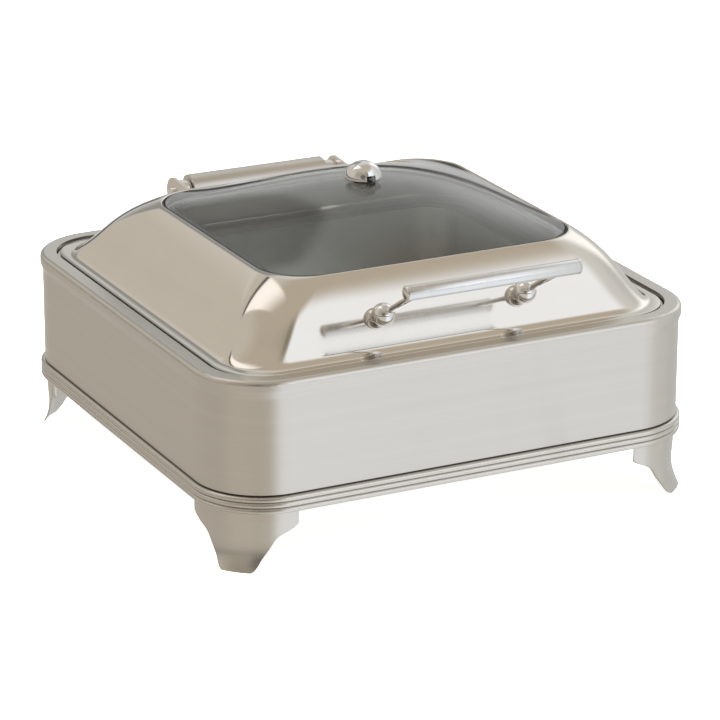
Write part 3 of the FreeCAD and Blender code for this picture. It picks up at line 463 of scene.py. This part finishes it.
print(len(rounded_ring(1, -1, 1, 0.2, 0)), "points in a ring")


# %% [markdown]
# ## The lid shell
# The real lid is drawn from one sheet: steep at the foot, easing over towards the window, with a small
# concave sweep where it meets its flat flange. It could be sculpted or subdivided from a cage, but a
# mirror shows every lump, so each outline's place comes from one smooth curve instead. The flange is
# cut away at the back, between the hinge arms.

# %% The lid's curve
FOOT_SLOPE = 0.95
WINDOW_SLOPE = 1.8
HINGE_GAP = 88 * MM
REAR_KEEP = 0.4 * MM
FLANGE_TRIM = 2.0 * MM      # the sheared edge is drawn in a little, so that the gap to the rim shows
PRESSED_EDGE = ((0.5, -0.05), (1.1, 0.25), (1.5, 0.8), (1.6, 1.6))   # mm in from the window and mm down


def drawn_in(h):
    """The share of the way in to the window at height fraction h."""
    return ((h ** 3 - 2 * h ** 2 + h) * FOOT_SLOPE + (3 * h ** 2 - 2 * h ** 3)
            + (h ** 3 - h ** 2) * WINDOW_SLOPE)


def lid_ring(share, out, z):
    """The lid's outline at a share of the way in, set outwards by a distance."""
    half_x = lid_half_x + (window_half_x - lid_half_x) * share + out
    front = lid_front + (window_front - lid_front) * share - out
    rear = lid_rear + (window_rear - lid_rear) * share + out
    radius = LID_RADIUS + (WINDOW_RADIUS - LID_RADIUS) * share + out
    return rounded_ring(half_x, front, rear, radius, z)


def flange_ring(out, z):
    """The flange's outline, set outwards from its edge, drawn in behind the hinge."""
    half_x = (lid_high.x - lid_low.x) / 2 + out
    ring = rounded_ring(half_x, lid_low.y - out, lid_high.y + out, FLANGE_RADIUS + out, z)
    return cut_for_hinge(ring)


def cut_for_hinge(ring):
    """Draws a flange ring in behind the hinge."""
    limit = lid_rear + SKIRT + REAR_KEEP
    for point in ring:
        if abs(point.x) < HINGE_GAP and point.y > limit:
            point.y = limit
    return ring


def skirt_rings(steps=8):
    """The shallow sweep from the flange up to the dome's foot, nearly level first, then steeper."""
    top = lid_low.z + SHEET
    rings = []
    for step in range(steps + 1):
        share = step / steps
        rings.append(lid_ring(0, SKIRT * (1 - share), top + (lid_base - top) * share ** 1.7))
    return rings[:-1]


def lid_rings(steps=30):
    """All outlines in order: flange edge, sweep, dome, window edge, then down the inside."""
    height = pane_low.z + PANE_EDGE - lid_base
    edge = SHEET / 2
    rings = []
    for turn in range(5):
        angle = math.radians(-90 + 45 * turn)
        out = edge * math.cos(angle) - edge - FLANGE_TRIM
        rings.append(flange_ring(out, lid_low.z + edge + edge * math.sin(angle)))
    rings += [cut_for_hinge(ring) for ring in skirt_rings()]
    outer = [step / steps for step in range(steps + 1)]
    rings += [lid_ring(drawn_in(h), 0, lid_base + height * h) for h in outer]
    window_z = lid_base + height
    rings += [lid_ring(1, -inwards * MM, window_z - down * MM) for inwards, down in PRESSED_EDGE]
    rings += [lid_ring(drawn_in(h), -1.5 * MM, lid_base + height * h - 1.0 * MM)
              for h in reversed(outer[:-1])]
    rings.append(cut_for_hinge(lid_ring(0, SKIRT - SHEET, lid_low.z)))
    return rings


lid_mesh = loft("lid_pressing", lid_rings(), lid_steel, "lid")
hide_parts("lid_shell")

# %% [markdown]
# ## The pane
# The pane is sagged over a mould into a shallow pillow whose edge stays level. The height is the
# product of two arches, less what that product has left at the rounded corners.

# %% Glass pane
PANE_RADIUS = 43 * MM


def pane_rings(drop, inset, count=22):
    """Outlines from the pane's edge towards its middle, lowered and drawn in for the underside."""
    half_x = (pane_high.x - pane_low.x) / 2 - inset
    half_y = (pane_high.y - pane_low.y) / 2 - inset
    rise = pane_high.z - pane_low.z - PANE_EDGE
    edge = rounded_ring(half_x, -half_y, half_y, PANE_RADIUS - inset, 0)

    def arch(x, y):
        return (1 - (x / half_x) ** 2) * (1 - (y / half_y) ** 2)

    rings = []
    for step in range(count):
        share = 1 - step / count
        ring = []
        for p in edge:
            height = arch(p.x * share, p.y * share) - arch(p.x, p.y) * share ** 8
            ring.append(Vector((p.x * share, pane_mid.y + p.y * share,
                                pane_low.z + PANE_EDGE + rise * height - drop)))
        rings.append(ring)
    return rings


def pane_piece():
    """Both faces of the pane, joined round the edge and closed in the middle."""
    outer = pane_rings(0, 0)
    inner = pane_rings(PANE_EDGE, 0.4 * MM)
    rings = list(reversed(outer)) + inner
    count = len(outer[0])
    points = [p for ring in rings for p in ring]
    faces = []
    for row in range(len(rings) - 1):
        for i in range(count):
            j = (i + 1) % count
            faces.append((row * count + j, row * count + i, (row + 1) * count + i, (row + 1) * count + j))
    top = len(points)
    points.append(Vector((0, pane_mid.y, pane_high.z)))
    points.append(Vector((0, pane_mid.y, pane_high.z - PANE_EDGE)))
    last = (len(rings) - 1) * count
    for i in range(count):
        j = (i + 1) % count
        faces.append((i, j, top))
        faces.append((last + j, last + i, top + 1))
    print("pane", len(points), "points")
    return mesh_piece("sagged_pane", points, faces, glass_finish, "lid", 50)


pane = pane_piece()
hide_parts("window_glass")

# %% [markdown]
# ## Turned parts
# The bar, its plugs, the posts and their balls, and the hinge's barrels are all lathe work. Chrome shows
# every flat of a coarse circle, so each is spun here from a short profile of distances along the axis
# and radii, with the small rounded corners that turning and plating leave. A screw modifier could spin
# a drawn line too, but worked-out points take their lengths straight from the frame.

# %% Spinning a profile
SPIN_STEPS = 56
AXIS = 0.0001 * MM          # as close to the axis as a ring of points may come


def turned(name, profile, start, way, finish, replaced):
    """Spins (along, radius) points about a line, to ride the lid in place of a part."""
    way = Vector(way).normalized()
    side = way.orthogonal().normalized()
    over = way.cross(side)
    points = []
    for along, radius in profile:
        for step in range(SPIN_STEPS):
            angle = step / SPIN_STEPS * 2 * math.pi
            points.append(start + way * along + (side * math.cos(angle) + over * math.sin(angle)) * radius)
    faces = []
    for row in range(len(profile) - 1):
        for i in range(SPIN_STEPS):
            j = (i + 1) % SPIN_STEPS
            low, high = row * SPIN_STEPS, (row + 1) * SPIN_STEPS
            faces.append((low + i, low + j, high + j, high + i))
    piece = mesh_piece(name, points, faces, finish, "lid", 50)
    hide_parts(replaced)
    print(name, len(points), "points")


def eased_edge(along, radius, corner, rising):
    """Three points that round a corner of a profile, going up to a radius or down from it."""
    sign = 1 if rising else -1
    edge = []
    for turn in (0, 45, 90)[::sign]:
        angle = math.radians(turn)
        edge.append((along + sign * corner * (1 - math.cos(angle)), radius - corner * (1 - math.sin(angle))))
    return edge


def rod_profile(length, radius, bore, corner):
    """A straight rod or tube with eased ends, from its bore over the outside and back to the bore."""
    return [(0, bore), *eased_edge(0, radius, corner, True), *eased_edge(length, radius, corner, False),
            (length, bore)]


# %% [markdown]
# ## The handle
# The bar is a brushed tube across the front, closed by a domed plug at each end. Two thin rods hold it
# up at a slant, and each comes out of a ball that covers its screw. The plugs could be plain discs, but
# their domes are what catches the light at the ends of the bar.

# %% Bar and plugs
BAR_RADIUS = 6 * MM
PLUG_HEAD = 3 * MM
TURNED_EDGE = 0.3 * MM
DOME_SHARES = (0.35, 0.55, 0.7, 0.82, 0.91, 0.97, 1.0)
bar_mid = middle("handle_bar")
bar_half = size("handle_bar").x / 2
bar_bore = BAR_RADIUS - SHEET


def spin_bar():
    tube = rod_profile(2 * bar_half, BAR_RADIUS, bar_bore, TURNED_EDGE) + [(0, bar_bore)]
    start = bar_mid - Vector((bar_half, 0, 0))
    turned("handle_tube", tube, start, (1, 0, 0), bar_steel, "handle_bar")


def spin_plug(side, sign):
    cap = f"handle_cap_{side}"
    length = size(cap).x
    neck = length - PLUG_HEAD
    outer = BAR_RADIUS + 0.2 * MM
    dome = [(neck + PLUG_HEAD * share, outer * math.sqrt(1 - share ** 3)) for share in DOME_SHARES]
    plug = [(0, AXIS), (0, bar_bore), (neck, bar_bore), (neck, outer), *dome]
    start = Vector((sign * (bar_half - neck), bar_mid.y, bar_mid.z))
    turned(f"handle_plug_{side}", plug, start, (sign, 0, 0), chrome, cap)


spin_bar()
for side, sign in (("left", -1), ("right", 1)):
    spin_plug(side, sign)

# %% Rods and balls
HANDLE_TILT = math.radians(31.4)
POST_WAY = Vector((0, -math.cos(HANDLE_TILT), math.sin(HANDLE_TILT)))
POST_RADIUS = 2.6 * MM
BALL_RADIUS = 9.5 * MM
BALL_TURNS = 24             # steps from pole to pole; the first few are cut off where the ball sits


def spin_rod(side):
    post = f"handle_post_{side}"
    reach = (size(post).y - 2 * POST_RADIUS * math.sin(HANDLE_TILT)) / math.cos(HANDLE_TILT)
    start = middle(post) - POST_WAY * reach / 2
    rod = rod_profile(reach, POST_RADIUS, AXIS, TURNED_EDGE)
    turned(f"handle_rod_{side}", rod, start, POST_WAY, chrome, post)


def spin_ball(side):
    ball = f"handle_ball_{side}"
    low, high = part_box(ball)
    centre = Vector((middle(f"handle_post_{side}").x, low[1] + BALL_RADIUS, (low[2] + high[2]) / 2))
    angles = [turn * math.pi / BALL_TURNS for turn in range(3, BALL_TURNS + 1)]
    arc = [(BALL_RADIUS * (1 - math.cos(angle)), max(AXIS, BALL_RADIUS * math.sin(angle)))
           for angle in angles]
    start = centre - POST_WAY * BALL_RADIUS
    turned(f"handle_bead_{side}", arc, start, POST_WAY, chrome, ball)


for side in sides:
    spin_rod(side)
    spin_ball(side)

# %% [markdown]
# ## The hinge's barrels
# A short chrome drum sits between each lid arm and the cover, on the pin. Its well rounded edges are the
# brightest spots at the back of the lid, so it is spun as well.

# %% Barrels
BARREL_RADIUS = 11 * MM
BARREL_BORE = 3 * MM
BARREL_EDGE = 1.2 * MM


def spin_barrel(side):
    barrel = f"hinge_barrel_{side}"
    pin = middle("hinge_pin")
    drum = rod_profile(size(barrel).x, BARREL_RADIUS, BARREL_BORE, BARREL_EDGE)
    start = Vector((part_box(barrel)[0][0], pin.y, pin.z))
    turned(f"hinge_drum_{side}", drum, start, (1, 0, 0), chrome, barrel)


for side in sides:
    spin_barrel(side)

# %% [markdown]
# ## Floor
# The object stands on a wide sheet of pale matt paper. It also shines a little by itself, which keeps
# shadows faint, and steel doesn't mirror it: all reflections come from the tent of light further on,
# which is simpler to tune than a real floor.

# %% Floor
FLOOR_REACH = 14


def stage_piece(name, points, faces, finish):
    """A mesh of the studio that steel doesn't mirror."""
    mesh = bpy.data.meshes.new(name)
    mesh.from_pydata(points, [], faces)
    mesh.materials.append(finish)
    piece = bpy.data.objects.new(name, mesh)
    bpy.context.scene.collection.objects.link(piece)
    piece.visible_glossy = False
    print(name, len(faces), "faces")
    return piece


def floor_piece():
    paper = Finish("pale_floor_sheet")
    fibre = paper.noise(3.0, 4, 0.5)
    tone = paper.blend(fibre, (0.90, 0.90, 0.895), (0.92, 0.92, 0.915))
    finish = paper.surface(Base_Color=tone, Roughness=0.9, Emission_Color=tone, Emission_Strength=0.90)
    corners = [(x * FLOOR_REACH, y * FLOOR_REACH, 0) for x, y in ((-1, -1), (1, -1), (1, 1), (-1, 1))]
    return stage_piece("studio_floor", corners, [(0, 1, 2, 3)], finish)


floor_piece()

# %% [markdown]
# ## Backdrop
# A far white wall stands all round, so that a low view doesn't look into the dark end of the tent. A
# bigger floor would do it too, but not at table height. It casts no light or shadow on the object.

# %% Backdrop
WALL_REACH = 13.5
WALL_TOP = 9.0
WALL_STEPS = 48


def backdrop_piece():
    cloth = Finish("white_backdrop")
    weave = cloth.noise(0.6, 3, 0.5)
    tone = cloth.blend(weave, (0.985, 0.985, 0.98), (1.0, 1.0, 0.995))
    finish = cloth.surface(Base_Color=(0, 0, 0), Roughness=1.0, Emission_Color=tone, Emission_Strength=1.02)
    turns = [step / WALL_STEPS * 2 * math.pi for step in range(WALL_STEPS)]
    points = [(WALL_REACH * math.cos(turn), WALL_REACH * math.sin(turn), z)
              for z in (-0.01, WALL_TOP) for turn in turns]
    faces = [(i, (i + 1) % WALL_STEPS, WALL_STEPS + (i + 1) % WALL_STEPS, WALL_STEPS + i)
             for i in range(WALL_STEPS)]
    wall = stage_piece("studio_backdrop", points, faces, finish)
    wall.visible_diffuse = False
    wall.visible_shadow = False


backdrop_piece()

# %% [markdown]
# ## The tent
# Light by direction, as a mirror on the table would see it: pale cards behind and to the right, tan ones
# to the left, a warm ceiling, one window high on the left, and the dark line where the table ends. It
# could be built from real cards, but one sum on the direction is easier to tune and has no edges to hide.

# %% Directions
world = bpy.data.worlds.new("light_tent")
world.use_nodes = True
bpy.context.scene.world = world
light = Finish("light_tent", world.node_tree)
way = light.node("ShaderNodeTexCoord", out=0)
x, y, z = light.parts(way)
ease, blend = light.ease, light.blend


def within(value, low, high, soft):
    """1 between two values, easing off outside them."""
    return ease(value, low - soft, low) * ease(value, high, high + soft, 1.0, 0.0)


print("the tent starts with", len(light.tree.nodes), "nodes")

# %% [markdown]
# ### The half behind
# These cards are what the level flange and frame and the left wall show. A paler card stands far to the
# right, a tan one to the left, lighter higher up, and a cooler one straight behind.

# %% Cards behind
BACK = (0.64, 0.64, 0.62)
BACK_HIGH = (0.72, 0.72, 0.68)
BACK_RIGHT = (1.25, 1.25, 1.22)
BACK_LEFT = (0.55, 0.505, 0.435)
BACK_LEFT_LIFT = (0.62, 0.575, 0.50)
BACK_LEFT_HIGH = (0.73, 0.69, 0.63)
GAP_CARD = (0.34, 0.34, 0.32)


def cards_behind():
    left_high = ease(z, 0.40, 0.55) * ease(y, 0.70, 0.82)
    left = blend(ease(z, -0.1, 0.3), BACK_LEFT, blend(left_high, BACK_LEFT_LIFT, BACK_LEFT_HIGH))
    far_right = ease(x, 0.52, 0.72) * ease(y, 0.2, 0.5) * ease(z, 0.1, 0.3)
    right = blend(far_right, blend(ease(z, 0.36, 0.60), BACK, BACK_HIGH), BACK_RIGHT)
    both = blend(ease(x, -0.20, 0.14), left, right)
    gap = within(x, -0.02, 0.22, 0.07) * ease(y, 0.6, 0.7) * ease(z, 0.0, 0.3)
    return blend(gap, both, GAP_CARD)


behind = cards_behind()
print("with the cards behind:", len(light.tree.nodes), "nodes")

# %% [markdown]
# ### The half in front
# Tan cards stand on the left and near white ones on the right, for the front wall. A brighter strip low
# down is picked up by the rim's round edge, and a darker edge stands where left and right meet.

# %% Cards in front
FRONT_LEFT = (0.62, 0.57, 0.49)
FRONT_LEFT_HIGH = (0.40, 0.36, 0.29)
FRONT_RIGHT = (0.98, 1.0, 1.01)
FRONT_RIGHT_HIGH = (1.04, 1.07, 1.10)
FRONT_STRIP = (1.45, 1.45, 1.45)
FRONT_FAR_RIGHT = (0.74, 0.73, 0.70)
CARD_EDGE = (0.27, 0.24, 0.18)


def cards_in_front():
    left = blend(ease(z, -0.2, 0.5), FRONT_LEFT, FRONT_LEFT_HIGH)
    right = blend(ease(z, 0.1, 0.4), FRONT_RIGHT, FRONT_RIGHT_HIGH)
    right = blend(within(z, 0.08, 0.26, 0.06), right, FRONT_STRIP)
    right = blend(ease(x, 0.5, 0.8), right, FRONT_FAR_RIGHT)
    split_low = ease(x, -0.20, 0.14) * ease(z, 0.0, 0.3, 1.0, 0.0)
    split_high = ease(x, 0.12, 0.22) * ease(z, 0.0, 0.3)
    both = blend(split_low + split_high, left, right)
    return blend(within(x, 0.03, 0.08, 0.07) * ease(z, 0.3, 0.5), both, CARD_EDGE)


in_front = cards_in_front()
print("with the cards in front:", len(light.tree.nodes), "nodes")

# %% [markdown]
# ### Ceiling, window, seam and doorway
# The ceiling is warm and duller. A bright window high on the left makes the soft patch on the lid's left
# slope. The seam is the dark line where floor and tent meet, and the doorway is the opening at the front,
# which only curved chrome shows.

# %% Ceiling, window, seam and doorway
OVERHEAD = (0.54, 0.475, 0.385)
WINDOW = (1.25, 1.19, 1.12)
WINDOW_FRAME = (0.06, 0.055, 0.05)
SEAM = (0.10, 0.095, 0.09)
DOORWAY = (0.16, 0.15, 0.14)
DOORWAY_WAY = (-0.42, -0.84, 0.34)


def tent():
    colour = blend(ease(y, -0.32, 0.10, 1.0, 0.0), behind, in_front)
    colour = blend(ease(z, 0.68, 0.88) * ease(y, 0.2, 0.5, 1.0, 0.0), colour, OVERHEAD)
    upper_left = ease(x + y * 0.35, -0.40, -0.36) * ease(x, -0.12, -0.09, 1.0, 0.0) * ease(z, 0.5, 0.6)
    window = ease(y, -0.15, 0.36) * ease(y, 0.54, 0.57, 1.0, 0.0) * upper_left
    colour = blend(window, colour, WINDOW)
    colour = blend(within(y, 0.58, 0.60, 0.02) * upper_left, colour, WINDOW_FRAME)
    colour = blend(within(z, -0.04, 0.0, 0.06) * ease(x, 0.5, 0.7, 1.0, 0.0), colour, SEAM)
    toward = light.node("ShaderNodeVectorMath", {"operation": "DOT_PRODUCT"}, {0: way, 1: DOORWAY_WAY}, out=1)
    colour = blend(ease(toward, 0.93, 0.985), colour, DOORWAY)
    sky = light.node("ShaderNodeBackground", {}, {"Color": colour, "Strength": 1.0})
    light.node("ShaderNodeOutputWorld", {}, {"Surface": sky})


tent()
print("the whole tent has", len(light.tree.nodes), "nodes")

# %% [markdown]
# ## Lamps
# The tent alone lights everything evenly. Two soft boxes add what little shadow and shine there is. They
# aren't mirrored, because a bright rectangle in the polished lid would give them away.

# %% Lamps
def softbox(name, at, aim, width, height, watts, colour=(1, 1, 1)):
    """A rectangular lamp that points at a place and isn't seen in steel."""
    lamp = bpy.data.lights.new(name, "AREA")
    lamp.shape = "RECTANGLE"
    lamp.size = width
    lamp.size_y = height
    lamp.energy = watts
    lamp.color = colour
    holder = bpy.data.objects.new(name, lamp)
    holder.location = at
    holder.rotation_euler = (Vector(aim) - Vector(at)).to_track_quat("-Z", "Y").to_euler()
    holder.visible_glossy = False
    bpy.context.scene.collection.objects.link(holder)


softbox("overhead", (0.2, -0.1, 3.0), (0, 0, 0), 3.6, 3.6, 150)
softbox("front_left", (-1.0, -0.15, 2.0), (0, 0, 0.2), 0.62, 0.75, 22, (1, 0.97, 0.94))

# %% [markdown]
# ## Camera
# A long lens from a good three metres away keeps the body's sides nearly parallel, as a catalogue shot
# does. The turn, the downward tilt and the small lean are given as angles and applied in that order.

# %% Camera
YAW = 26.8
PITCH = 19.7
ROLL = 0.2
LENS = 183
CAMERA_FROM_BODY = -2.594
camera_data = bpy.data.cameras.new("camera")
camera_data.sensor_width = 36
camera_data.lens = LENS
camera_data.clip_end = 60
camera = bpy.data.objects.new("camera", camera_data)
place = Vector((-1.305, CAMERA_FROM_BODY + body_mid.y, 1.122))
camera.matrix_world = (Matrix.Translation(place) @ Matrix.Rotation(math.radians(-YAW), 4, "Z")
                       @ Matrix.Rotation(math.radians(90 - PITCH), 4, "X")
                       @ Matrix.Rotation(math.radians(ROLL), 4, "Z"))
bpy.context.scene.collection.objects.link(camera)
bpy.context.scene.camera = camera
bpy.context.scene.view_settings.view_transform = "Standard"
print("camera at", tuple(round(v, 3) for v in place))
